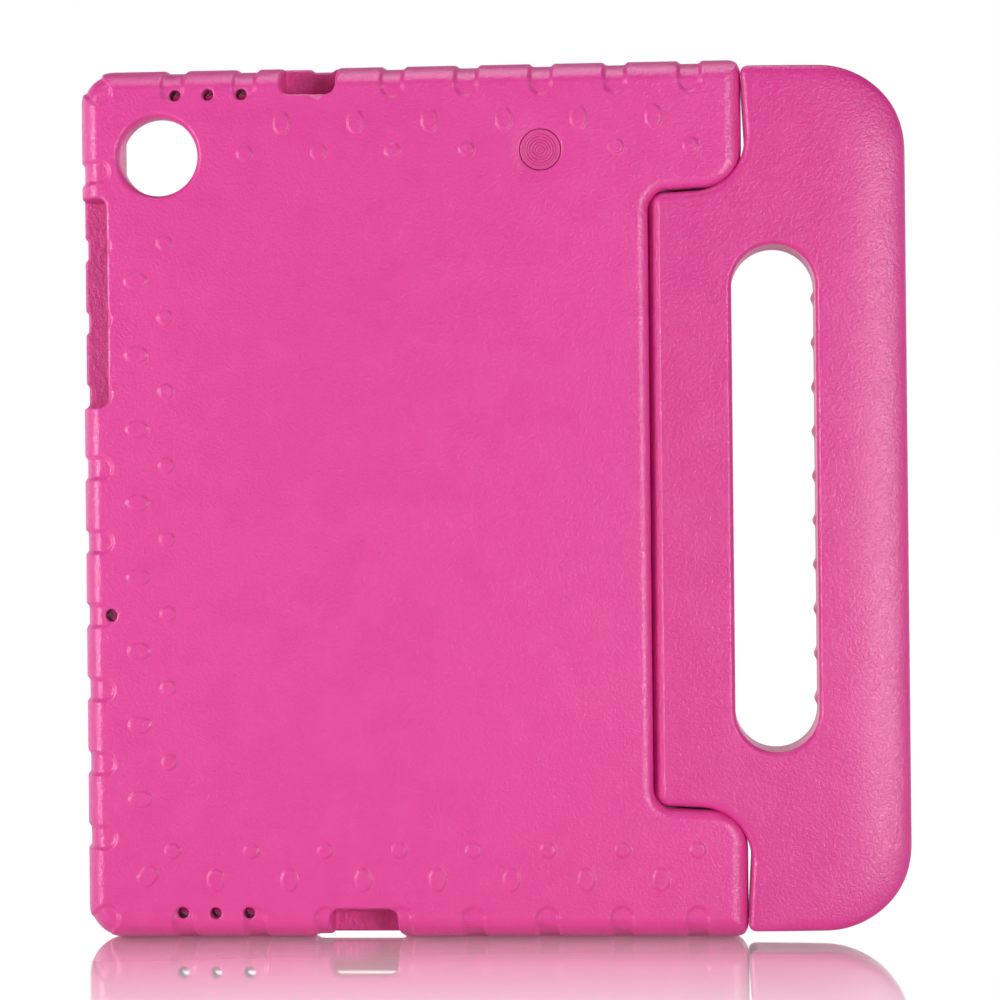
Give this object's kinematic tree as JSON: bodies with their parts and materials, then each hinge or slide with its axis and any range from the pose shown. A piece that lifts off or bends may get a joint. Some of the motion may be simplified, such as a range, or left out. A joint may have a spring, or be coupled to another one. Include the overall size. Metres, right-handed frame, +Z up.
{
  "type": "tablet case",
  "caption": "Shock-absorbing foam tablet case with an open screen window, port cut-outs and a swivelling carry handle that folds back as a stand.",
  "frame": {"origin": "centre of the object's bounding box at its bottom, under the case's short edge on which it stands", "axes": "+Z up along the tablet's long side and along the swivel axis, +X from the tablet towards the handle, back panel towards -Y, screen window towards +Y"},
  "size_m": [0.2456, 0.025, 0.2604],
  "materials": {
    "foam": "matte closed-skin EVA foam, fine grain",
    "handle_foam": "matte closed-skin EVA foam, fine grain",
    "plug_foam": "matte moulded EVA with fine rings",
    "steel": "turned and ribbed",
    "nylon": "black, slightly waxy"
  },
  "bodies": {
    "case": {"case_shell": "foam", "back_plug": "plug_foam", "upper_hinge_bush": "nylon", "lower_hinge_bush": "nylon"},
    "handle": {"handle": "handle_foam", "upper_hinge_pin": "steel", "lower_hinge_pin": "steel", "upper_hinge_washer": "nylon", "lower_hinge_washer": "nylon"}
  },
  "joints": [
    {"name": "handle_swivel", "type": "hinge", "parent": "case", "child": "handle", "pos_m": [0.0612, 0, 0.1302], "axis": [0, 0, 1], "range_deg": [-90, 90]}
  ]
}
